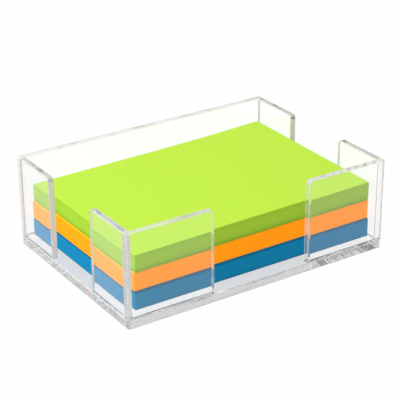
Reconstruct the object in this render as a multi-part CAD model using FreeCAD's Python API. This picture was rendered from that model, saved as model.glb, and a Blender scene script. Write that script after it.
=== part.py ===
import FreeCAD
import Part
import math
import os
from collections import namedtuple

# Desk tray of clear acrylic for memo pads, with finger gaps in three of its walls.
# Millimetres, +Z up. Origin: centre of the tray's underside. The long side runs
# along X, the open front faces -Y.

# ---- Driving dimensions -------------------------------------------------------------

# Memo pads: sheets a little under 6 inches long and 4 inches wide
PAD_LENGTH = 147.0
PAD_WIDTH = 101.6

# Room between the pads and the walls, at each end and at each side
ROOM_AT_ENDS = 3.0
ROOM_AT_SIDES = 3.2

# Acrylic sheet
WALL = 3.5
BASE_THICKNESS = 4.8
WALL_HEIGHT = 47.2

# Length of the corner walls, from the tray's outside
SIDE_WALL_LENGTH = 36.0
FRONT_WALL_LENGTH = 50.5

# Rounding of the walls' free top corners, of the base plate's and the walls' upright corners,
# and of polished edges
FREE_CORNER_RADIUS = 2.5
BASE_CORNER_RADIUS = 2.2
WALL_CORNER_RADIUS = 1.2
EDGE_RADIUS = 0.3

# How the pads lie: square to the tray, pushed to the back right, one on another
PAD_TO_WALL = 0.3
PAD_TO_PAD = 0.05

# Thickness of each pad at its left edge, where it is tight
BLUE_THICKNESS = 10.3
ORANGE_THICKNESS = 9.8
GREEN_THICKNESS = 10.0

# Every pad is this much thicker at its right edge, where the sheets part
PAD_FULLNESS = 0.6

# The orange sheets are cut this much longer, and stick out to the left of the others
ORANGE_OVERHANG = 0.8

# ---- Sizes that follow --------------------------------------------------------------

INSIDE_LENGTH = PAD_LENGTH + 2 * ROOM_AT_ENDS
INSIDE_WIDTH = PAD_WIDTH + 2 * ROOM_AT_SIDES
LENGTH = INSIDE_LENGTH + 2 * WALL
WIDTH = INSIDE_WIDTH + 2 * WALL
HEIGHT = BASE_THICKNESS + WALL_HEIGHT

END_X = LENGTH / 2
END_Y = WIDTH / 2
INSIDE_X = INSIDE_LENGTH / 2
INSIDE_Y = INSIDE_WIDTH / 2

# The stack, bottom pad first
Pad = namedtuple("Pad", "node thickness overhang")
PADS = (
    Pad("blue_pad", BLUE_THICKNESS, 0.0),
    Pad("orange_pad", ORANGE_THICKNESS, ORANGE_OVERHANG),
    Pad("green_pad", GREEN_THICKNESS, 0.0),
)

# Two faces that meet at less than this angle, in degrees, run on smoothly
SMOOTH_ANGLE = 5.0
TOLERANCE = 1e-4

UP = FreeCAD.Vector(0, 0, 1)


def near(first, second):
    """True where two lengths are the same."""
    return abs(first - second) < TOLERANCE


def box(low_x, high_x, low_y, high_y, low_z, high_z):
    """Block between two corners."""
    corner = FreeCAD.Vector(low_x, low_y, low_z)
    return Part.makeBox(high_x - low_x, high_y - low_y, high_z - low_z, corner)


def middle(edge):
    """Point half-way along an edge."""
    return edge.valueAt((edge.FirstParameter + edge.LastParameter) / 2)


def is_sharp(solid, edge):
    """True where the two faces that share an edge meet at an angle."""
    point = middle(edge)
    normals = []
    for face in solid.ancestorsOfType(edge, Part.Face):
        u, v = face.Surface.parameter(point)
        normals.append(face.normalAt(u, v))
    if len(normals) != 2:
        return False
    return math.degrees(normals[0].getAngle(normals[1])) > SMOOTH_ANGLE


def polished(solid, is_bonded):
    """Solid with every sharp edge rounded, except the edges where it is bonded."""
    edges = [edge for edge in solid.Edges if is_sharp(solid, edge) and not is_bonded(middle(edge))]
    return solid.makeFillet(EDGE_RADIUS, edges)


def rounded_upright(solid, x, y, radius):
    """Solid with its upright edge at x, y rounded."""
    def is_at_corner(point):
        return near(point.x, x) and near(point.y, y)
    return solid.makeFillet(radius, [edge for edge in solid.Edges if is_at_corner(middle(edge))])


def rounded_top_corner(solid, is_on_free_end):
    """Wall with the top corner of its free end rounded."""
    def is_corner(point):
        return near(point.z, HEIGHT) and is_on_free_end(point)
    edges = [edge for edge in solid.Edges if is_corner(middle(edge))]
    return solid.makeFillet(FREE_CORNER_RADIUS, edges)


# ---- Tray ---------------------------------------------------------------------------


def base_plate():
    """Floor of the tray, as large as the walls' outside, with its lower edge softened."""
    plate = box(-END_X, END_X, -END_Y, END_Y, 0, BASE_THICKNESS)
    for x in (-END_X, END_X):
        for y in (-END_Y, END_Y):
            plate = rounded_upright(plate, x, y, BASE_CORNER_RADIUS)
    return polished(plate, lambda point: near(point.z, BASE_THICKNESS))


def back_panel():
    """Full wall along the back, out to the tray's corners."""
    panel = box(-END_X, END_X, INSIDE_Y, END_Y, BASE_THICKNESS, HEIGHT)
    for x in (-END_X, END_X):
        panel = rounded_upright(panel, x, END_Y, WALL_CORNER_RADIUS)

    def is_bonded(point):
        is_joint_edge = near(abs(point.x), END_X) and near(point.y, INSIDE_Y)
        return near(point.z, BASE_THICKNESS) or is_joint_edge
    return polished(panel, is_bonded)


def front_panel(side):
    """Corner wall at the front, out to the tray's corner. side is -1 for left, 1 for right."""
    free_x = side * (END_X - FRONT_WALL_LENGTH)
    low_x, high_x = sorted((side * END_X, free_x))
    panel = box(low_x, high_x, -END_Y, -INSIDE_Y, BASE_THICKNESS, HEIGHT)
    panel = rounded_top_corner(panel, lambda point: near(point.x, free_x))
    panel = rounded_upright(panel, side * END_X, -END_Y, WALL_CORNER_RADIUS)

    def is_bonded(point):
        is_joint_edge = near(point.x, side * END_X) and near(point.y, -INSIDE_Y)
        return near(point.z, BASE_THICKNESS) or is_joint_edge
    return polished(panel, is_bonded)


def side_panel(side, end):
    """Corner wall at a short side, its end bonded to the inner face of the long wall.

    side is -1 for left and 1 for right, end is -1 for front and 1 for back.
    """
    inner, outer = sorted((side * INSIDE_X, side * END_X))
    joint_y = end * INSIDE_Y
    free_y = end * (END_Y - SIDE_WALL_LENGTH)
    near_y, far_y = sorted((joint_y, free_y))
    panel = box(inner, outer, near_y, far_y, BASE_THICKNESS, HEIGHT)
    panel = rounded_top_corner(panel, lambda point: near(point.y, free_y))

    def is_bonded(point):
        return near(point.z, BASE_THICKNESS) or near(point.y, joint_y)
    return polished(panel, is_bonded)


# ---- Memo pads ----------------------------------------------------------------------


def pad_block(pad, left_bottom, right_bottom):
    """Block of sheets on a slightly sloping seat, pushed to the tray's back right corner."""
    right = INSIDE_X - PAD_TO_WALL
    back = INSIDE_Y - PAD_TO_WALL
    left = right - PAD_LENGTH - pad.overhang
    outline = (
        (left, left_bottom),
        (right, right_bottom),
        (right, right_bottom + pad.thickness + PAD_FULLNESS),
        (left, left_bottom + pad.thickness),
    )
    points = [FreeCAD.Vector(x, back, z) for x, z in outline]
    side = Part.Face(Part.makePolygon(points + points[:1]))
    return side.extrude(FreeCAD.Vector(0, -PAD_WIDTH, 0))


def stacked_pads():
    """Pads by node name, stacked on the base plate."""
    left_bottom = right_bottom = BASE_THICKNESS + PAD_TO_PAD
    blocks = {}
    for pad in PADS:
        blocks[pad.node] = pad_block(pad, left_bottom, right_bottom)
        left_bottom += pad.thickness + PAD_TO_PAD
        right_bottom += pad.thickness + PAD_FULLNESS + PAD_TO_PAD
    return blocks


# ---- Parts --------------------------------------------------------------------------

parts = {
    "base_plate": base_plate(),
    "back_panel": back_panel(),
    "left_back_panel": side_panel(-1, 1),
    "left_front_panel": side_panel(-1, -1),
    "right_back_panel": side_panel(1, 1),
    "right_front_panel": side_panel(1, -1),
    "front_left_panel": front_panel(-1),
    "front_right_panel": front_panel(1),
    **stacked_pads(),
}

os.makedirs("parts", exist_ok=True)
for node, shape in parts.items():
    shape.exportStep("parts/" + node + ".step")
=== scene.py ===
"""Clear acrylic desk tray with three memo pads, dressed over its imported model.

The tray is one clear body, as a tray is once its sheets are cemented together. Each memo pad is
a stack of thin paper sheets. All lengths are in metres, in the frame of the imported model.
"""

from __future__ import annotations

import logging
import math
from collections.abc import Callable
from dataclasses import dataclass
from enum import Enum

import bmesh
import bpy
from bpy.types import Material, Mesh, Node, NodeOutputs, NodeSocket, NodeTree, Object
from mathutils import Matrix, Vector

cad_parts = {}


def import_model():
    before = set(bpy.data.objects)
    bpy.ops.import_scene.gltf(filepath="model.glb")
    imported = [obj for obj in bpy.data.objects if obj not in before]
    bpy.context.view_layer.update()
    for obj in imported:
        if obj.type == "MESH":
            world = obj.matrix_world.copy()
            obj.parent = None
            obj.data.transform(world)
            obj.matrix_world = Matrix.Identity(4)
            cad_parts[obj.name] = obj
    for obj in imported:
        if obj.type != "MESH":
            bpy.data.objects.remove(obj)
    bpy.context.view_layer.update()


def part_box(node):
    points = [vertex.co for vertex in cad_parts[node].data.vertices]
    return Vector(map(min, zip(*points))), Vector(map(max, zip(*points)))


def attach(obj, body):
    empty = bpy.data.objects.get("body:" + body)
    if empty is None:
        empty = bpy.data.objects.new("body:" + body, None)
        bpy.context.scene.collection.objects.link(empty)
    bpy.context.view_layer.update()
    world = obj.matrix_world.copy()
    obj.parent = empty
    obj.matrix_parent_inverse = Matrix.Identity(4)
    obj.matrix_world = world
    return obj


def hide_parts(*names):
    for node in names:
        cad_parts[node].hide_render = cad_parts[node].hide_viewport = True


LOG = logging.getLogger("memo_tray")

MM = 0.001

TRAY_LENGTH = 160 * MM
TRAY_WIDTH = 115 * MM
ACRYLIC_IOR = 1.49

# A face looks along an axis when its normal has more than this share on it
FACING = 0.5
# Coordinates that differ by less are the same
ROUNDING_ERROR = 1e-7
# Edges that turn by more are sharp
SHARP = math.radians(30)
# How many flats make up a rounding, and how many the narrow edge beside a seam
ROUND_STEPS = 8
SEAM_STEPS = 2
# Light turns this often inside clear sheet before it is given up
LIGHT_TURNS = 48


# ---- Small tools ----


def linear(code: str) -> tuple[float, float, float, float]:
    """Turn an sRGB colour into a linear one.

    Args:
        code: Colour as six hex digits, with or without a leading hash.

    Returns:
        Red, green, blue and alpha, the first three linear.
    """
    digits = code.lstrip("#")
    channels = [int(digits[i:i + 2], 16) / 255 for i in (0, 2, 4)]
    straight = [c / 12.92 if c <= 0.04045 else ((c + 0.055) / 1.055) ** 2.4 for c in channels]
    return (*straight, 1.0)


def add_node(tree: NodeTree, kind: str, inputs: dict | None = None, **settings: object) -> Node:
    """Add one node with its settings and with what goes into it.

    Args:
        tree: Node tree that gets the node.
        kind: Blender's type name of the node.
        inputs: What goes in, by the input's name or number: a fixed value, an output socket, or
            a node, which stands for its first output.
        settings: Properties of the node.

    Returns:
        The new node.
    """
    made = tree.nodes.new(kind)
    for name, value in settings.items():
        setattr(made, name, value)
    for name, value in (inputs or {}).items():
        source = value.outputs[0] if isinstance(value, Node) else value
        if isinstance(source, NodeSocket):
            tree.links.new(source, made.inputs[name])
        else:
            made.inputs[name].default_value = source
    return made


def new_material(name: str) -> tuple[Material, NodeTree, Node]:
    """Make a material that holds only its output.

    Args:
        name: Name of the material.

    Returns:
        The material, its node tree and its output node.
    """
    material = bpy.data.materials.new(name)
    material.use_nodes = True
    tree = material.node_tree
    tree.nodes.clear()
    return material, tree, add_node(tree, "ShaderNodeOutputMaterial")


def mesh_object(name: str, mesh: Mesh) -> Object:
    """Put a mesh into the scene as an object at the origin.

    Args:
        name: Name of the object.
        mesh: Its mesh, which already holds its place.

    Returns:
        The new object.
    """
    placed = bpy.data.objects.new(name, mesh)
    bpy.context.scene.collection.objects.link(placed)
    return placed


# ---- Finishes ----


def streaks(tree: NodeTree, length: float, height: float, detail: float) -> NodeSocket:
    """Add a noise that is drawn out along the sheets.

    Args:
        tree: Node tree of the material.
        length: How long the streaks are.
        height: How high they are.
        detail: How finely they are broken up.

    Returns:
        Socket with the noise.
    """
    place = add_node(tree, "ShaderNodeTexCoord")
    stretched = add_node(tree, "ShaderNodeMapping", {
        "Scale": (1 / length, 1 / length, 1 / height), "Vector": place.outputs["Object"],
    })
    noise = add_node(
        tree, "ShaderNodeTexNoise", {"Scale": 1.0, "Detail": detail, "Vector": stretched},
    )
    return noise.outputs["Fac"]


def clear_shader(tree: NodeTree, tone: str, roughness: float, bump: Node) -> NodeSocket:
    """Add the shader of see-through acrylic.

    Args:
        tree: Node tree of the material.
        tone: Colour that the acrylic gives the light.
        roughness: How matt its face is.
        bump: Node that gives the face its waves.

    Returns:
        Socket with the shader.
    """
    shader = add_node(tree, "ShaderNodeBsdfPrincipled", {
        "Base Color": linear(tone), "Roughness": roughness, "IOR": ACRYLIC_IOR,
        "Transmission Weight": 1.0, "Normal": bump,
    })
    return shader.outputs["BSDF"]


@dataclass(frozen=True)
class CastAcrylic:
    """Cast acrylic sheet, as its polished faces show it.

    The faces are as clear and glossy as glass, with the very slight waviness of a cast sheet,
    which only shows where a straight line behind it wavers.
    """

    name: str = "cast_acrylic_sheet_polished"
    tone: str = "#FFFFFF"
    roughness: float = 0.0
    wave_length: float = 40 * MM
    wave_strength: float = 0.006
    wave_reach: float = 1.0

    def make(self) -> Material:
        """Make the material of the sheet faces.

        Returns:
            The material.
        """
        material, tree, output = new_material(self.name)
        place = add_node(tree, "ShaderNodeTexCoord")
        wave = add_node(tree, "ShaderNodeTexNoise", {
            "Scale": 1 / self.wave_length, "Detail": 0.0, "Vector": place.outputs["Object"],
        })
        bump = add_node(tree, "ShaderNodeBump", {
            "Strength": self.wave_strength, "Distance": self.wave_reach,
            "Height": wave.outputs["Fac"],
        })
        shader = clear_shader(tree, self.tone, self.roughness, bump)
        tree.links.new(shader, output.inputs["Surface"])
        return material


@dataclass(frozen=True)
class SawnAcrylicEdge:
    """Edge of a thick acrylic plate, as the saw left it.

    The blade's low, long waves break up what is seen through the plate into glints and streaks.
    """

    name: str
    tone: str
    roughness: float = 0.06
    wave_length: float = 60 * MM
    wave_height: float = 3 * MM
    wave_depth: float = 0.06 * MM
    wave_detail: float = 1.0

    def make(self) -> Material:
        """Make the material of the base plate's edges.

        Returns:
            The material.
        """
        material, tree, output = new_material(self.name)
        waves = streaks(tree, self.wave_length, self.wave_height, self.wave_detail)
        bump = add_node(tree, "ShaderNodeBump", {
            "Strength": 1.0, "Distance": self.wave_depth, "Height": waves,
        })
        shader = clear_shader(tree, self.tone, self.roughness, bump)
        tree.links.new(shader, output.inputs["Surface"])
        return material


@dataclass(frozen=True)
class CloudyAcrylic:
    """Acrylic with a clouded skin, as planing, sanding, easing or cement leaves it.

    It looks like thin milk: pale, with what lies behind it showing through a little, and slightly
    streaked along the sheet. Its tone and its darker streaks can be painted shade, as on the top
    edges and at the foot, and on the long walls' tops also a painted reflection of the green pad.
    A painted glow stands for the light that a clear sheet leads to its edges.
    """

    name: str
    cloudiness: float
    tone: str = "#FFFFFF"
    painted_shade_tone: str = "#FFFFFF"
    spread: float = 0.12
    glow: float = 0.0
    roughness: float = 0.4
    gloss: float = 0.3
    streak_length: float = 12 * MM
    streak_height: float = 3 * MM
    streak_detail: float = 2.0
    cloud_range: tuple[float, float] = (0.3, 0.7)
    painted_shade_range: tuple[float, float] = (0.5, 0.62)

    def make(self) -> Material:
        """Make the material of one kind of clouded face.

        Returns:
            The material.
        """
        material, tree, output = new_material(self.name)
        noise = streaks(tree, self.streak_length, self.streak_height, self.streak_detail)
        cloud = add_node(tree, "ShaderNodeMapRange", {
            "From Min": self.cloud_range[0], "From Max": self.cloud_range[1],
            "To Min": self.cloudiness - self.spread, "To Max": self.cloudiness + self.spread,
            "Value": noise,
        })
        # Darker streaks mix in the tone of painted shade.
        painted_shade_streaks = add_node(tree, "ShaderNodeMapRange", {
            "From Min": self.painted_shade_range[0], "From Max": self.painted_shade_range[1], "Value": noise,
        })
        colour = add_node(tree, "ShaderNodeMixRGB", {
            "Color1": linear(self.tone), "Color2": linear(self.painted_shade_tone), "Fac": painted_shade_streaks,
        })
        shader = add_node(tree, "ShaderNodeBsdfPrincipled", {
            "Roughness": self.roughness, "IOR": ACRYLIC_IOR, "Specular IOR Level": self.gloss,
            "Emission Color": linear("#FFFFFF"), "Emission Strength": self.glow,
            "Base Color": colour, "Alpha": cloud,
        })
        tree.links.new(shader.outputs["BSDF"], output.inputs["Surface"])
        return material


@dataclass(frozen=True)
class DyedPaper:
    """Uncoated memo paper, dyed through.

    It is matt, and a little cloudy where the fibres lie thicker. Every sheet of a pad has a tone
    of its own, and the sheets near where one pad meets the next are painted darker as shade; this
    draws fine lines along the pad's sides and leaves its top plain. A fluorescent dye gives back
    some light of its own. The fibres are drawn coarser than real ones, so that they show.
    """

    name: str
    tone: str
    glow: str = "#000000"
    glow_strength: float = 0.0
    roughness: float = 0.85
    gloss: float = 0.25
    ior: float = 1.5
    cloud_size: float = 5 * MM
    cloud_detail: float = 3.0
    cloud_roughness: float = 0.55
    cloud_share: float = 0.5
    fibre_size: float = 0.9 * MM
    fibre_detail: float = 4.0
    fibre_roughness: float = 0.7
    fibre_depth: float = 0.03 * MM
    fibre_strength: float = 0.25
    unevenness: float = 0.03

    def colour(self, tree: NodeTree, place: NodeSocket) -> NodeSocket:
        """Add the colour: cloudy, and on the pad's sides sheet by sheet with painted shade.

        Args:
            tree: Node tree of the material.
            place: Socket with the place on the pad.

        Returns:
            Socket with the colour.
        """
        sheet = add_node(
            tree, "ShaderNodeAttribute", attribute_name="sheet_tone_and_painted_shade", attribute_type="GEOMETRY",
        )
        clouds = add_node(tree, "ShaderNodeTexNoise", {
            "Scale": 1 / self.cloud_size, "Detail": self.cloud_detail,
            "Roughness": self.cloud_roughness, "Vector": place,
        })
        turned = add_node(tree, "ShaderNodeNewGeometry")
        up = add_node(tree, "ShaderNodeSeparateXYZ", {"Vector": turned.outputs["True Normal"]})
        flat = add_node(tree, "ShaderNodeMath", {0: up.outputs["Z"]}, operation="ABSOLUTE")
        upright = add_node(tree, "ShaderNodeMath", {0: flat, 1: FACING}, operation="LESS_THAN")
        side_tone_and_painted_shade = add_node(
            tree, "ShaderNodeMath", {0: sheet.outputs["Fac"], 1: upright}, operation="MULTIPLY",
        )
        both = add_node(tree, "ShaderNodeMath", {
            0: clouds.outputs["Fac"], 1: self.cloud_share, 2: side_tone_and_painted_shade,
        }, operation="MULTIPLY_ADD")
        value = add_node(tree, "ShaderNodeMapRange", {
            "From Min": 0.0, "From Max": 1 + self.cloud_share, "To Min": 1 - self.unevenness,
            "To Max": 1 + self.unevenness, "Value": both,
        }, clamp=False)
        dyed = add_node(
            tree, "ShaderNodeHueSaturation", {"Color": linear(self.tone), "Value": value},
        )
        return dyed.outputs["Color"]

    def fibres(self, tree: NodeTree, place: NodeSocket) -> NodeSocket:
        """Add the low relief that the paper's fibres give it.

        Args:
            tree: Node tree of the material.
            place: Socket with the place on the pad.

        Returns:
            Socket with the normal.
        """
        relief = add_node(tree, "ShaderNodeTexNoise", {
            "Scale": 1 / self.fibre_size, "Detail": self.fibre_detail,
            "Roughness": self.fibre_roughness, "Vector": place,
        })
        bump = add_node(tree, "ShaderNodeBump", {
            "Strength": self.fibre_strength, "Distance": self.fibre_depth,
            "Height": relief.outputs["Fac"],
        })
        return bump.outputs["Normal"]

    def make(self) -> Material:
        """Make the material of one pad.

        Returns:
            The material.
        """
        material, tree, output = new_material(self.name)
        place = add_node(tree, "ShaderNodeTexCoord").outputs["Object"]
        shader = add_node(tree, "ShaderNodeBsdfPrincipled", {
            "Roughness": self.roughness, "IOR": self.ior, "Specular IOR Level": self.gloss,
            "Emission Color": linear(self.glow), "Emission Strength": self.glow_strength,
            "Base Color": self.colour(tree, place), "Normal": self.fibres(tree, place),
        })
        tree.links.new(shader.outputs["BSDF"], output.inputs["Surface"])
        return material


# ---- Tray ----


class Face(Enum):
    """How a face of the acrylic sheet was made. The value is its material slot.

    SHEET is a polished sheet face. TOP and LONG_TOP are planed top edges, of a side wall and of a
    wall along the tray; their tones paint shade, grey with dark streaks on a side wall and a pale
    olive that also paints the green pad's reflection on a wall along the tray. EASED is a
    softened edge, END a sanded free end and CLEAR_END one that a flame cleared. SAWN and
    LONG_SAWN are the base plate's short and long edges, the long ones tinted greyer as painted
    shade. CEMENT is a seam between walls and FOOT one between a wall and the base plate, painted
    with a dark line of shade.
    """

    SHEET = 0
    TOP = 1
    EASED = 2
    END = 3
    CLEAR_END = 4
    SAWN = 5
    CEMENT = 6
    FOOT = 7
    LONG_TOP = 8
    LONG_SAWN = 9


@dataclass(frozen=True)
class Panel:
    """Sheet of acrylic between two corners, with polished edges.

    The upright edges in corners lie on the tray's corners: they are rounded with the radius
    corner, and the sheet's ends there are made as corner_face says. free_end is the end that
    stands free: its top corner is rounded, and it is made as free_face says. clear_strip is how
    far the flame that cleared it reached along the inner face. seams are the edges where the
    sheet is cemented to the next one. Edges and ends are named by the sides that they lie on,
    -1 for the low side, 1 for the high side and 0 for either.
    """

    low: tuple[float, float, float]
    high: tuple[float, float, float]
    corners: tuple[tuple[int, int], ...] = ()
    corner: float = 0.0
    corner_face: Face = Face.SHEET
    free_end: tuple[int, int] = (0, 0)
    free_face: Face = Face.END
    clear_strip: float = 0.0
    seams: tuple[tuple[int, int, int], ...] = ()

    def thin_axis(self) -> int:
        """Give the number of the axis along which the sheet is thinnest."""
        spans = [b - a for a, b in zip(self.low, self.high)]
        return spans.index(min(spans))

    def lies_on(self, edge: bmesh.types.BMEdge, sides: tuple[int, int, int]) -> bool:
        """Tell whether an edge lies on some sides of the sheet.

        Args:
            edge: Edge of the sheet's mesh.
            sides: For X, Y and Z, -1 for the low side, 1 for the high side, and 0 for either.

        Returns:
            True if the whole edge lies on each side that is given.
        """
        for axis, side in enumerate(sides):
            if side:
                place = self.high[axis] if side > 0 else self.low[axis]
                if any(abs(v.co[axis] - place) > ROUNDING_ERROR for v in edge.verts):
                    return False
        return True

    def top_face(self) -> Face:
        """Tell how the wall's top edge was made, and so which painted shade it gets."""
        return Face.TOP if self.thin_axis() == 0 else Face.LONG_TOP

    def finish(self, normal: Vector) -> Face:
        """Tell how a face was made, from the way it looks.

        Args:
            normal: Direction in which the face looks.

        Returns:
            How it was made.
        """
        thin = self.thin_axis()
        if abs(normal[thin]) > FACING:
            return Face.SHEET
        if thin == 2:
            return Face.LONG_SAWN if abs(normal.y) > FACING else Face.SAWN
        if normal.z > FACING:
            return self.top_face()
        if any(normal[i] * side > FACING for i, side in enumerate(self.free_end)):
            return self.free_face
        return self.corner_face

    def blank(self) -> bmesh.types.BMesh:
        """Cut the sheet with sharp edges, each face marked with how it was made.

        Returns:
            Mesh of the sheet.
        """
        skin = bmesh.new()
        middle = (Vector(self.low) + Vector(self.high)) / 2
        span = Vector(self.high) - Vector(self.low)
        bmesh.ops.create_cube(skin, size=1.0, matrix=Matrix.LocRotScale(middle, None, span))
        skin.normal_update()
        for face in skin.faces:
            face.material_index = self.finish(face.normal).value
        if self.clear_strip:
            self.mark_clear_strip(skin)
        return skin

    @staticmethod
    def sharp_edges(skin: bmesh.types.BMesh) -> list[bmesh.types.BMEdge]:
        """List the edges of a sheet's mesh that are still sharp."""
        skin.normal_update()
        return [e for e in skin.edges if e.calc_face_angle(0) > SHARP]

    def build(self, free: float, edge: float, seam: float) -> bmesh.types.BMesh:
        """Build the sheet with all its edges rounded.

        Args:
            free: Radius of a free end's top corner.
            edge: Radius of the polished edges.
            seam: Radius of the edges at the seams.

        Returns:
            Mesh of the sheet.
        """
        skin = self.blank()
        is_plate = self.thin_axis() == 2
        for x, y in self.corners:
            uprights = [e for e in skin.edges if self.lies_on(e, (x, y, 0))]
            made = Face.SAWN if is_plate else Face.EASED
            self.round_edges(skin, uprights, self.corner, ROUND_STEPS, made)
        if any(self.free_end):
            ends = [e for e in skin.edges if self.lies_on(e, (*self.free_end, 1))]
            self.round_edges(skin, ends, free, ROUND_STEPS, self.top_face())
        sharp = self.sharp_edges(skin)
        free_edges = [e for e in sharp if not any(self.lies_on(e, s) for s in self.seams)]
        self.round_edges(skin, free_edges, edge, ROUND_STEPS, Face.EASED)
        made = Face.EASED if is_plate else Face.CEMENT
        self.round_edges(skin, self.sharp_edges(skin), seam, SEAM_STEPS, made)
        # Cement faces at the foot get a dark line of painted shade along the joint.
        for face in skin.faces:
            at_foot = face.calc_center_median().z < self.low[2] + seam
            if at_foot and face.material_index == Face.CEMENT.value:
                face.material_index = Face.FOOT.value
        return skin

    def mark_clear_strip(self, skin: bmesh.types.BMesh) -> None:
        """Part off the strip of the inner face that the flame cleared with the free end.

        Args:
            skin: Mesh of the sheet, with sharp edges.
        """
        side = self.free_end[0]
        end = self.high[0] if side > 0 else self.low[0]
        bmesh.ops.bisect_plane(
            skin, geom=[*skin.verts, *skin.edges, *skin.faces],
            plane_co=(end - side * self.clear_strip, 0, 0), plane_no=(1, 0, 0),
        )
        skin.normal_update()
        for face in skin.faces:
            near = abs(face.calc_center_median().x - end) < self.clear_strip
            if face.normal.y > FACING and near:
                face.material_index = Face.CLEAR_END.value

    @staticmethod
    def round_edges(
        skin: bmesh.types.BMesh, edges: list[bmesh.types.BMEdge], radius: float, steps: int,
        made: Face,
    ) -> None:
        """Round some edges of the sheet's mesh.

        Args:
            skin: Mesh of the sheet.
            edges: Edges to round.
            radius: Radius of the rounding.
            steps: Flats that the rounding is made of.
            made: Finish of the rounding.
        """
        bmesh.ops.bevel(
            skin, geom=edges, offset=radius, offset_type="OFFSET", segments=steps, profile=0.5,
            affect="EDGES", clamp_overlap=True, material=made.value,
        )


@dataclass
class AcrylicTray:
    """Open tray: a base plate and seven wall panels on it, cemented into one clear body.

    free_corner, base_corner and wall_corner are radii. edge is the radius of a polished edge and
    seam that of an edge beside a cement joint. The sheets sink into the cement by cement_depth,
    and film is how thick it dried in the corner joints. clear_strip has to be wider than
    free_corner.
    """

    length: float = TRAY_LENGTH
    width: float = TRAY_WIDTH
    height: float = 52 * MM
    wall: float = 3.5 * MM
    base: float = 4.8 * MM
    side_wall_length: float = 36 * MM
    front_wall_length: float = 50.5 * MM
    free_corner: float = 2.5 * MM
    base_corner: float = 2.2 * MM
    wall_corner: float = 1.2 * MM
    edge: float = 0.5 * MM
    seam: float = 0.4 * MM
    cement_depth: float = 0.01 * MM
    film: float = 0.04 * MM
    clear_strip: float = 2.9 * MM
    weld: float = 0.001 * MM

    def panels(self) -> list[Panel]:
        """List the sheets that the tray is cemented from, each sunk a little into the cement.

        Returns:
            The base plate and then the walls.
        """
        x, y, top = self.length / 2, self.width / 2, self.height
        inner_x, inner_y = x - self.wall, y - self.wall
        joint_y, foot = inner_y + self.cement_depth, self.base - self.cement_depth
        gap_x, gap_y = x - self.front_wall_length, y - self.side_wall_length
        foot_seam = (0, 0, -1)
        made = [
            Panel((-x, -y, 0), (x, y, self.base), ((-1, -1), (1, -1), (1, 1), (-1, 1)),
                  self.base_corner, seams=((0, 0, 1), (0, 0, -1))),
            Panel((-x, inner_y, foot), (x, y, top), ((-1, 1), (1, 1)), self.wall_corner,
                  Face.END, seams=((-1, -1, 0), (1, -1, 0), foot_seam)),
        ]
        for side, corner_face, clear_strip in (
            (-1, Face.SHEET, 0.0), (1, Face.TOP, self.clear_strip),
        ):
            low_x, high_x = sorted((side * x, side * gap_x))
            made.append(Panel((low_x, -y, foot), (high_x, -inner_y, top), ((side, -1),),
                              self.wall_corner, corner_face, (-side, 0), Face.CLEAR_END,
                              clear_strip, seams=((side, 1, 0), foot_seam)))
            low_x, high_x = sorted((side * x, side * inner_x))
            made.append(Panel((low_x, -joint_y, foot), (high_x, -gap_y, top),
                              free_end=(0, 1), seams=((0, -1, 0), foot_seam)))
            made.append(Panel((low_x, gap_y, foot), (high_x, joint_y, top),
                              free_end=(0, -1), seams=((0, 1, 0), foot_seam)))
        return made

    def joints(self) -> Object:
        """Build the cement's films, where the side walls' ends meet the long walls.

        The one at the right front has a painted glow for the light that the wall leads to its
        end.

        Returns:
            The films, as one piece.
        """
        x, y = self.length / 2, self.width / 2 - self.wall
        corners = ((-1, -1), (-1, 1), (1, -1), (1, 1))
        skin = bmesh.new()
        span = (self.wall - self.edge, self.film, self.height - self.base - self.edge)
        for side, end in corners:
            middle = (side * (x - self.wall / 2), end * y, (self.base + self.height) / 2)
            film = bmesh.ops.create_cube(
                skin, size=1.0, matrix=Matrix.LocRotScale(Vector(middle), None, Vector(span)),
            )
            has_painted_glow = side > 0 > end
            for face in {f for v in film["verts"] for f in v.link_faces}:
                face.material_index = int(has_painted_glow)
        mesh = bpy.data.meshes.new("corner_cement")
        skin.to_mesh(mesh)
        skin.free()
        for cement in (
            CloudyAcrylic("acrylic_cement_dried_in_the_joint", 0.6),
            CloudyAcrylic("acrylic_cement_with_light_from_the_wall", 0.8, glow=0.38),
        ):
            mesh.materials.append(cement.make())
        LOG.info("corner_cement: %d films", len(corners))
        return mesh_object("corner_cement", mesh)

    @staticmethod
    def materials() -> list[Material]:
        """Make the materials of the sheets' faces.

        Returns:
            One material for each kind of face, in the order of the slots.
        """
        finishes = {
            Face.SHEET: CastAcrylic(),
            # Side walls' tops: the grey tone and dark streaks are painted shade.
            Face.TOP: CloudyAcrylic("acrylic_edge_planed_with_painted_shade", 0.8, "#CCD0CE", "#84888A"),
            Face.EASED: CloudyAcrylic("acrylic_edge_eased_with_fine_paper", 0.6),
            Face.END: CloudyAcrylic("acrylic_end_fine_sanded", 0.86),
            Face.CLEAR_END: CloudyAcrylic("acrylic_end_flame_polished", 0.15),
            Face.SAWN: SawnAcrylicEdge("acrylic_edge_as_sawn", "#E4E6E6"),
            Face.CEMENT: CloudyAcrylic("acrylic_cement_line", 0.6),
            # The foot's near-black tone is painted shade along the joint, on a real cement seam.
            Face.FOOT: CloudyAcrylic(
                "acrylic_cement_line_at_the_foot_painted_dark_for_shade", 0.72, "#1C2020", "#1C2020", 0.2,
            ),
            # Long walls' tops: olive tone and streaks paint shade and the green pad's reflection.
            Face.LONG_TOP: CloudyAcrylic("acrylic_long_edge_planed_with_painted_shade_and_reflection", 0.72, "#E2E4DA", "#C4C8B6"),
            # Long sawn edges: tinted greyer than the short ones as painted shade.
            Face.LONG_SAWN: SawnAcrylicEdge("acrylic_long_edge_as_sawn_greyed_for_painted_shade", "#D2D4D3"),
        }
        return [finishes[face].make() for face in Face]

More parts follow.
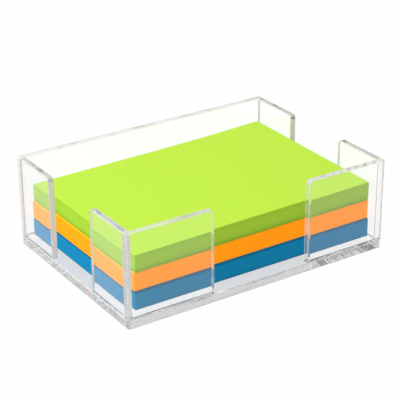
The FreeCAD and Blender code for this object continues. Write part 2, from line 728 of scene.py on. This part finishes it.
    def sheets(self) -> list[Object]:
        """Build the sheets, not yet cemented.

        Returns:
            The base plate and then the walls.
        """
        materials = self.materials()
        sheets = []
        for panel in self.panels():
            skin = panel.build(self.free_corner, self.edge, self.seam)
            mesh = bpy.data.meshes.new("acrylic_sheet")
            skin.to_mesh(mesh)
            skin.free()
            for material in materials:
                mesh.materials.append(material)
            sheets.append(mesh_object("acrylic_sheet", mesh))
        return sheets

    @staticmethod
    def put_in_order(
        parts: bmesh.types.BMVertSeq | bmesh.types.BMFaceSeq, place: Callable,
    ) -> None:
        """Sort a mesh's corners or faces by where they are.

        Args:
            parts: All corners or all faces of the mesh.
            place: Gives the place of one of them.
        """
        for number, part in enumerate(sorted(parts, key=place)):
            part.index = number
        parts.sort()

    def build(self) -> Object:
        """Unite the sheets into one closed mesh.

        The union lists its corners and faces in a new order each time, so they are sorted.

        Returns:
            The tray, without the films of cement.
        """
        plate, *walls = self.sheets()
        for wall in walls:
            union = plate.modifiers.new("cement", "BOOLEAN")
            union.operation = "UNION"
            union.solver = "EXACT"
            union.object = wall
        graph = bpy.context.evaluated_depsgraph_get()
        united = bpy.data.meshes.new_from_object(plate.evaluated_get(graph))
        for sheet in (plate, *walls):
            bpy.data.objects.remove(sheet)
        united.name = "acrylic_tray"
        skin = bmesh.new()
        skin.from_mesh(united)
        self.put_in_order(skin.verts, lambda vert: tuple(vert.co))
        self.put_in_order(skin.faces, lambda face: tuple(face.calc_center_median()))
        bmesh.ops.remove_doubles(skin, verts=skin.verts, dist=self.weld)
        open_edges = sum(not e.is_manifold for e in skin.edges)
        skin.to_mesh(united)
        skin.free()
        LOG.info("acrylic_tray: %d faces, %d open edges", len(united.polygons), open_edges)
        return mesh_object("acrylic_tray", united)

    def dress(self, tray: Object, cement: Object) -> None:
        """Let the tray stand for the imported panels, and let light through it.

        Light for the pads would not find its way through clear sheet, so the tray throws no
        shadow and stands in the way of no diffuse light.

        Args:
            tray: The united sheets.
            cement: The films of cement in its corners.
        """
        for piece in (tray, cement):
            piece.visible_shadow = False
            piece.visible_diffuse = False
            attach(piece, "tray")
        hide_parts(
            "base_plate", "back_panel", "left_back_panel", "left_front_panel",
            "right_back_panel", "right_front_panel", "front_left_panel", "front_right_panel",
        )


# ---- Memo pads ----


@dataclass
class SheetStack:
    """Geometry tree that stacks sheets of paper into one pad.

    Each sheet is a thin box, parted a little along and across so that it can bend.
    """

    name: str = "stacked_sheets"
    parts_along: int = 4
    parts_across: int = 3

    def sockets(self, tree: NodeTree) -> None:
        """Declare what the tree takes and gives.

        Args:
            tree: Tree that stacks sheets.
        """
        inputs = {
            "NodeSocketFloat": (
                "Length", "Width", "Thickness", "Fullness", "First Tilt", "Unevenness",
                "Shortening", "Shade Tone",
            ),
            "NodeSocketInt": ("Sheets", "Seed", "Shaded Low", "Shaded High"),
            "NodeSocketMaterial": ("Paper",),
        }
        for kind, labels in inputs.items():
            for label in labels:
                tree.interface.new_socket(label, in_out="INPUT", socket_type=kind)
        tree.interface.new_socket("Pad", in_out="OUTPUT", socket_type="NodeSocketGeometry")

    def shade(self, tree: NodeTree, given: NodeOutputs, number: NodeSocket) -> NodeSocket:
        """Tell how deep a sheet lies in the shade where one pad meets the next.

        Args:
            tree: Tree that stacks sheets.
            given: What the tree is given.
            number: Number of the sheet, from 0 at the bottom.

        Returns:
            Socket that goes from nearly 1 at the pad's bottom and top to 0 further in.
        """
        from_below = add_node(tree, "ShaderNodeMath", {0: number, 1: 1.0}, operation="ADD")
        from_above = add_node(
            tree, "ShaderNodeMath", {0: given["Sheets"], 1: number}, operation="SUBTRACT",
        )
        shades = []
        for depth, reach in ((from_below, "Shaded Low"), (from_above, "Shaded High")):
            part = add_node(
                tree, "ShaderNodeMath", {0: depth, 1: given[reach]}, operation="DIVIDE",
            )
            shades.append(add_node(
                tree, "ShaderNodeMath", {0: 1.0, 1: part}, operation="SUBTRACT", use_clamp=True,
            ))
        return add_node(
            tree, "ShaderNodeMath", {0: shades[0], 1: shades[1]}, operation="MAXIMUM",
        ).outputs[0]

    def sheet(self, tree: NodeTree, given: NodeOutputs, step: Node) -> NodeSocket:
        """Add one flat sheet of paper.

        Args:
            tree: Tree that stacks sheets.
            given: What the tree is given.
            step: Node that gives the thickness of the sheet.

        Returns:
            Socket with the sheet's mesh.
        """
        size = add_node(
            tree, "ShaderNodeCombineXYZ", {"X": given["Length"], "Y": given["Width"], "Z": step},
        )
        sheet = add_node(tree, "GeometryNodeMeshCube", {
            "Vertices X": self.parts_along + 1, "Vertices Y": self.parts_across + 1,
            "Vertices Z": 2, "Size": size,
        })
        return sheet.outputs["Mesh"]

    def seats(self, tree: NodeTree, given: NodeOutputs, step: Node, extra: Node) -> NodeSocket:
        """Add the points on which the sheets lie, one above another.

        Args:
            tree: Tree that stacks sheets.
            given: What the tree is given.
            step: Node that gives the thickness of a sheet.
            extra: Node that tells how far the sheets below have parted at the fuller end.

        Returns:
            Socket with the points.
        """
        rise = add_node(tree, "ShaderNodeCombineXYZ", {"Z": step})
        line = add_node(tree, "GeometryNodeMeshLine", {"Count": given["Sheets"], "Offset": rise})
        half = add_node(tree, "ShaderNodeMath", {0: extra, 1: 0.5}, operation="MULTIPLY")
        lift = add_node(tree, "ShaderNodeCombineXYZ", {"Z": half})
        placed = add_node(tree, "GeometryNodeSetPosition", {"Geometry": line, "Offset": lift})
        return placed.outputs["Geometry"]

    def slip(self, tree: NodeTree, given: NodeOutputs) -> NodeSocket:
        """Tell how far each sheet lies out of line.

        Args:
            tree: Tree that stacks sheets.
            given: What the tree is given.

        Returns:
            Socket with a random shift along and across.
        """
        most = given["Unevenness"]
        least = add_node(tree, "ShaderNodeMath", {0: most, 1: -1.0}, operation="MULTIPLY")
        low, high = (
            add_node(tree, "ShaderNodeCombineXYZ", {"X": end, "Y": end})
            for end in (least, most)
        )
        shift = add_node(tree, "FunctionNodeRandomValue", {
            "Min": low, "Max": high, "Seed": given["Seed"],
        }, data_type="FLOAT_VECTOR")
        return shift.outputs[0]

    def make(self) -> NodeTree:
        """Build the tree. Its inputs are the pad's sizes, its shades, the seed and the paper.

        Returns:
            The tree.
        """
        tree = bpy.data.node_groups.new(self.name, "GeometryNodeTree")
        self.sockets(tree)
        given = add_node(tree, "NodeGroupInput").outputs
        number = add_node(tree, "GeometryNodeInputIndex").outputs["Index"]
        step = add_node(tree, "ShaderNodeMath", {
            0: given["Thickness"], 1: given["Sheets"],
        }, operation="DIVIDE")
        share = add_node(
            tree, "ShaderNodeMath", {0: number, 1: given["Sheets"]}, operation="DIVIDE",
        )
        extra = add_node(
            tree, "ShaderNodeMath", {0: share, 1: given["Fullness"]}, operation="MULTIPLY",
        )
        slope = add_node(
            tree, "ShaderNodeMath", {0: extra, 1: given["Length"]}, operation="DIVIDE",
        )
        tilt = add_node(
            tree, "ShaderNodeMath", {0: slope, 1: given["First Tilt"]}, operation="ADD",
        )
        down = add_node(tree, "ShaderNodeMath", {0: tilt, 1: -1.0}, operation="MULTIPLY")
        turn = add_node(tree, "ShaderNodeCombineXYZ", {"Y": down})
        shade = self.shade(tree, given, number)
        cut = add_node(
            tree, "ShaderNodeMath", {0: shade, 1: given["Shortening"]}, operation="MULTIPLY",
        )
        scale = add_node(tree, "ShaderNodeMath", {0: 1.0, 1: cut}, operation="SUBTRACT")
        grown = add_node(tree, "ShaderNodeCombineXYZ", {"X": scale, "Y": scale, "Z": 1.0})
        sheets = add_node(tree, "GeometryNodeInstanceOnPoints", {
            "Points": self.seats(tree, given, step, extra),
            "Instance": self.sheet(tree, given, step), "Rotation": turn, "Scale": grown,
        })
        slid = add_node(tree, "GeometryNodeTranslateInstances", {
            "Instances": sheets, "Translation": self.slip(tree, given),
        })
        tone = add_node(
            tree, "FunctionNodeRandomValue", {"Seed": given["Seed"]}, data_type="FLOAT",
        )
        # Painted shade: sheets near where one pad meets the next are stored darker.
        darker = add_node(tree, "ShaderNodeMath", {
            0: shade, 1: given["Shade Tone"], 2: tone.outputs[1],
        }, operation="MULTIPLY_ADD")
        toned = add_node(tree, "GeometryNodeStoreNamedAttribute", {
            "Name": "sheet_tone_and_painted_shade", "Geometry": slid, "Value": darker,
        }, data_type="FLOAT", domain="INSTANCE")
        real = add_node(tree, "GeometryNodeRealizeInstances", {"Geometry": toned})
        papered = add_node(
            tree, "GeometryNodeSetMaterial", {"Geometry": real, "Material": given["Paper"]},
        )
        add_node(tree, "NodeGroupOutput", {"Pad": papered})
        return tree


@dataclass
class MemoPad:
    """One pad of loose memo sheets, lying square in the tray.

    slip is how far a sheet lies out of line. shaded_low and shaded_high count the sheets that
    lie in shade, from the bottom and from the top. shade_tone is how much darker the deepest of
    them is, and shortening the share by which it is shorter. lift is the air under the pad.
    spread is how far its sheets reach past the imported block: left, right, front and back.
    """

    node: str
    paper: DyedPaper
    seed: int
    sheets: int = 100
    slip: float = 0.07 * MM
    shaded_low: int = 1
    shaded_high: int = 1
    shade_tone: float = -9.0
    shortening: float = 0.003
    lift: float = 0.03 * MM
    spread: tuple[float, float, float, float] = (0, 0, 0, 0)

    def build(self, tree: NodeTree, fullness: float, tilt: float) -> Object:
        """Build the pad in the place of its packed block.

        Args:
            tree: The tree that stacks sheets.
            fullness: How much thicker the pad is at its right end.
            tilt: Slope of the seat it lies on, in radians.

        Returns:
            The pad, as a plain mesh.
        """
        low, high = ([*corner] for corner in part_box(self.node))
        for axis in (0, 1):
            low[axis] -= self.spread[2 * axis]
            high[axis] += self.spread[2 * axis + 1]
        span = [b - a for a, b in zip(low, high)]
        rise = tilt * span[0]
        thickness = span[2] - rise - fullness
        draft = mesh_object(self.node + "_draft", bpy.data.meshes.new("draft"))
        stack = draft.modifiers.new("stack", "NODES")
        stack.node_group = tree
        given = {
            "Length": span[0] - 2 * self.slip, "Width": span[1] - 2 * self.slip,
            "Thickness": thickness, "Fullness": fullness, "First Tilt": tilt,
            "Sheets": self.sheets, "Unevenness": self.slip, "Seed": self.seed,
            "Shaded Low": self.shaded_low, "Shaded High": self.shaded_high,
            "Shade Tone": self.shade_tone, "Shortening": self.shortening,
            "Paper": self.paper.make(),
        }
        for item in tree.interface.items_tree:
            if item.in_out == "INPUT":
                stack[item.identifier] = given[item.name]
        graph = bpy.context.evaluated_depsgraph_get()
        mesh = bpy.data.meshes.new_from_object(draft.evaluated_get(graph))
        bpy.data.objects.remove(draft)
        middle = (Vector(low) + Vector(high)) / 2
        seat = low[2] + self.lift + rise / 2 + thickness / self.sheets / 2
        mesh.transform(Matrix.Translation((middle.x, middle.y, seat)))
        mesh.name = self.node
        LOG.info("%s: %d sheets, %d faces", self.node, self.sheets, len(mesh.polygons))
        return mesh_object(self.node + "_sheets", mesh)

    def dress(self, pad: Object, slot: str) -> None:
        """Let the pad stand for its packed block and ride on its own body.

        Args:
            pad: The pad, as a plain mesh.
            slot: Name of its material slot; not used.
        """
        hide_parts(self.node)
        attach(pad, self.node)


@dataclass
class PadStack:
    """The three pads, one on another.

    fullness is how much thicker a pad is at its right end, and length the length over which it
    gets so. curl is how far the stack's top rises at the back right corner.
    """

    fullness: float = 0.6 * MM
    length: float = 147 * MM
    curl: float = 1.3 * MM

    def curl_corner(self, mesh: Mesh) -> None:
        """Let the loose sheets rise a little towards the stack's back right corner.

        Args:
            mesh: Mesh of one pad. The higher it lies in the stack, the more it rises.
        """
        low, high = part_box("blue_pad")[0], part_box("green_pad")[1]
        for vertex in mesh.vertices:
            share = [(c - a) / (b - a) for a, b, c in zip(low, high, vertex.co)]
            right, back, up = (min(max(part, 0.0), 1.0) for part in share)
            vertex.co.z += self.curl * max(2 * right - 1, 0.0) ** 2 * back * up

    def build(self) -> None:
        """Build the pads from the bottom up."""
        tree = SheetStack().make()
        blue = DyedPaper("uncoated_paper_dyed_blue", "#0CAADF")
        orange = DyedPaper("uncoated_paper_fluorescent_orange", "#FFCE10", "#FF2000", 0.35)
        green = DyedPaper("uncoated_paper_fluorescent_green", "#C9F64A")
        pads = (
            (MemoPad("blue_pad", blue, 3, shaded_low=8, shaded_high=18, shade_tone=-17.0,
                     spread=(0.9 * MM, 0.1 * MM, 0.6 * MM, 0.1 * MM)), "blue_paper"),
            (MemoPad("orange_pad", orange, 5, shaded_low=3), "orange_paper"),
            (MemoPad("green_pad", green, 8, shaded_low=28, shade_tone=-8.0), "green_paper"),
        )
        tilt = 0.0
        for pad, slot in pads:
            made = pad.build(tree, self.fullness, tilt)
            self.curl_corner(made.data)
            pad.dress(made, slot)
            tilt += self.fullness / self.length


# ---- Studio ----


@dataclass
class Studio:
    """White floor, white surroundings and a large soft lamp overhead.

    background_share is how much of the floor's look is a plain white backdrop, and the rest is
    paint with the object's shadow on it. The backdrop's brightness is 1 to the eye, times
    beyond_sheet through clear sheet, times under_tray where it lies under the tray, and
    mirrored_once, floor_often or room_often to a ray that was mirrored once or more often.
    surround is the even light that falls on the pieces from all around. Rays are told apart by
    whole counts of what they met, so each test lies halfway between two counts.
    """

    floor_size: float = 8.0
    floor_drop: float = 0.02 * MM
    floor_paint: str = "#F4F4F4"
    background_share: float = 0.96
    beyond_sheet: float = 1.05
    mirrored_once: float = 0.8
    floor_often: float = 0.65
    room_often: float = 0.95
    under_tray: float = 0.8
    surround: float = 0.3
    lamp_watts: float = 16.0
    lamp_size: float = 1.1
    lamp_from: tuple[float, float, float] = (-0.55, 0.1, 1.25)

    def plainly_seen(self, tree: NodeTree) -> NodeSocket:
        """Tell rays that show the background from rays that would carry its light to a piece.

        Args:
            tree: Node tree of the floor or the room.

        Returns:
            Socket that is 1 for the camera, also through clear sheet and in a mirror, and else 0.
        """
        path = add_node(tree, "ShaderNodeLightPath").outputs
        beyond = add_node(tree, "ShaderNodeMath", {
            0: path["Is Glossy Ray"], 1: path["Is Transmission Ray"],
        }, operation="MAXIMUM")
        seen = add_node(
            tree, "ShaderNodeMath", {0: path["Is Camera Ray"], 1: beyond}, operation="MAXIMUM",
        )
        no_piece_yet = add_node(
            tree, "ShaderNodeMath", {0: path["Diffuse Depth"], 1: 0.5}, operation="LESS_THAN",
        )
        return add_node(
            tree, "ShaderNodeMath", {0: seen, 1: no_piece_yet}, operation="MULTIPLY",
        ).outputs[0]

    def whiteness(self, tree: NodeTree, often: float) -> NodeSocket:
        """Give the background's brightness to a ray.

        It is white to a ray that came straight, slightly brighter to one that came through clear
        sheet, which takes some light, and dimmer to one that a piece mirrored, because the room
        is dimmer than the backdrop.

        Args:
            tree: Node tree of the floor or the room.
            often: Brightness to a ray that was mirrored more than once.

        Returns:
            Socket with the brightness.
        """
        path = add_node(tree, "ShaderNodeLightPath").outputs
        turns = path["Glossy Depth"]
        through = add_node(tree, "ShaderNodeMath", {
            0: path["Transmission Depth"], 1: 0.5,
        }, operation="GREATER_THAN")
        once = add_node(tree, "ShaderNodeMath", {0: turns, 1: 1.0, 2: 0.5}, operation="COMPARE")
        more = add_node(tree, "ShaderNodeMath", {0: turns, 1: 1.5}, operation="GREATER_THAN")
        straight = add_node(tree, "ShaderNodeMath", {
            0: through, 1: self.beyond_sheet - 1, 2: 1.0,
        }, operation="MULTIPLY_ADD")
        dimmed = add_node(tree, "ShaderNodeMath", {
            0: once, 1: self.mirrored_once - 1, 2: straight,
        }, operation="MULTIPLY_ADD")
        return add_node(
            tree, "ShaderNodeMath", {0: more, 1: often - 1, 2: dimmed}, operation="MULTIPLY_ADD",
        ).outputs[0]

    def in_shade(self, tree: NodeTree) -> NodeSocket:
        """Give the share of light that is left on the floor under the tray.

        Args:
            tree: Node tree of the floor.

        Returns:
            Socket that is below 1 where a ray comes straight down through the base plate.
        """
        place = add_node(tree, "ShaderNodeNewGeometry").outputs["Position"]
        apart = add_node(tree, "ShaderNodeSeparateXYZ", {0: place}).outputs
        faces_passed = add_node(tree, "ShaderNodeLightPath").outputs["Transmission Depth"]
        shaded = add_node(
            tree, "ShaderNodeMath", {0: faces_passed, 1: 2.5}, operation="LESS_THAN",
        )
        for axis, span in (("X", TRAY_LENGTH), ("Y", TRAY_WIDTH)):
            out = add_node(tree, "ShaderNodeMath", {0: apart[axis]}, operation="ABSOLUTE")
            below = add_node(tree, "ShaderNodeMath", {0: out, 1: span / 2}, operation="LESS_THAN")
            shaded = add_node(tree, "ShaderNodeMath", {0: shaded, 1: below}, operation="MULTIPLY")
        return add_node(tree, "ShaderNodeMath", {
            0: shaded, 1: self.under_tray - 1, 2: 1.0,
        }, operation="MULTIPLY_ADD").outputs[0]

    def floor(self) -> None:
        """Lay the floor, white to the eye, with the object's shadow on it."""
        half = self.floor_size / 2
        mesh = bpy.data.meshes.new("studio_floor")
        corners = ((-half, -half), (half, -half), (half, half), (-half, half))
        mesh.from_pydata([(*place, -self.floor_drop) for place in corners], [], [(0, 1, 2, 3)])
        material, tree, output = new_material("studio_floor_white_paint")
        paint = add_node(
            tree, "ShaderNodeBsdfDiffuse", {"Color": linear(self.floor_paint), "Roughness": 1.0},
        )
        strength = add_node(tree, "ShaderNodeMath", {
            0: self.whiteness(tree, self.floor_often), 1: self.in_shade(tree),
        }, operation="MULTIPLY")
        white = add_node(
            tree, "ShaderNodeEmission", {"Color": linear("#FFFFFF"), "Strength": strength},
        )
        share = add_node(tree, "ShaderNodeMath", {
            0: self.plainly_seen(tree), 1: self.background_share,
        }, operation="MULTIPLY")
        mixed = add_node(tree, "ShaderNodeMixShader", {0: share, 1: paint, 2: white})
        tree.links.new(mixed.outputs["Shader"], output.inputs["Surface"])
        mesh.materials.append(material)
        mesh_object("studio_floor", mesh)

    def surroundings(self) -> None:
        """Make the room: white to the eye, with a lower, even light for the pieces."""
        world = bpy.data.worlds.new("studio_room")
        world.use_nodes = True
        tree = world.node_tree
        tree.nodes.clear()
        output = add_node(tree, "ShaderNodeOutputWorld")
        even = add_node(
            tree, "ShaderNodeBackground", {"Color": linear("#FFFFFF"), "Strength": self.surround},
        )
        white = add_node(tree, "ShaderNodeBackground", {
            "Color": linear("#FFFFFF"), "Strength": self.whiteness(tree, self.room_often),
        })
        mixed = add_node(
            tree, "ShaderNodeMixShader", {0: self.plainly_seen(tree), 1: even, 2: white},
        )
        tree.links.new(mixed.outputs["Shader"], output.inputs["Surface"])
        bpy.context.scene.world = world

    def lamp(self) -> None:
        """Hang the large soft lamp."""
        light = bpy.data.lights.new("overhead_softbox", "AREA")
        light.shape = "SQUARE"
        light.size = self.lamp_size
        light.energy = self.lamp_watts
        hung = bpy.data.objects.new("overhead_softbox", light)
        hung.location = self.lamp_from
        hung.rotation_euler = (-Vector(self.lamp_from)).to_track_quat("-Z", "Y").to_euler()
        bpy.context.scene.collection.objects.link(hung)

    def build(self) -> None:
        """Set up floor, surroundings and lamp."""
        self.floor()
        self.surroundings()
        self.lamp()
        LOG.info("studio: floor, surroundings and softbox")


@dataclass
class ViewCamera:
    """Camera at the left front, above the tray. Its angles are in degrees, its lens in mm."""

    azimuth: float = -33.248
    elevation: float = 25.10
    roll: float = -0.382
    distance: float = 751.55 * MM
    aim: tuple[float, float, float] = (1.148 * MM, 2.089 * MM, 26 * MM)
    lens: float = 124.60
    sensor: float = 36.0
    nearest: float = 0.01

    def build(self) -> None:
        """Place the camera and make it the scene's own."""
        around, up, lean = (math.radians(a) for a in (self.azimuth, self.elevation, self.roll))
        back = Vector((
            math.sin(around) * math.cos(up), -math.cos(around) * math.cos(up), math.sin(up),
        ))
        right = (-back).cross(Vector((0, 0, 1))).normalized()
        above = right.cross(-back)
        turned_right = right * math.cos(lean) + above * math.sin(lean)
        turned_up = -right * math.sin(lean) + above * math.cos(lean)
        data = bpy.data.cameras.new("view_camera")
        data.sensor_width = self.sensor
        data.lens = self.lens
        data.clip_start = self.nearest
        camera = bpy.data.objects.new("view_camera", data)
        turned = Matrix((turned_right, turned_up, back)).transposed().to_4x4()
        camera.matrix_world = Matrix.Translation(Vector(self.aim) + back * self.distance) @ turned
        bpy.context.scene.collection.objects.link(camera)
        bpy.context.scene.camera = camera
        LOG.info("camera: lens %.1f mm", self.lens)


def main() -> None:
    """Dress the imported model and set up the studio."""
    logging.basicConfig(level=logging.INFO, format="%(name)s: %(message)s")
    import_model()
    scene = bpy.context.scene
    scene.view_settings.view_transform = "Standard"
    scene.cycles.max_bounces = LIGHT_TURNS
    scene.cycles.transmission_bounces = LIGHT_TURNS
    scene.cycles.glossy_bounces = LIGHT_TURNS
    ViewCamera().build()
    Studio().build()
    tray = AcrylicTray()
    tray.dress(tray.build(), tray.joints())
    PadStack().build()


if __name__ == "__main__":
    main()
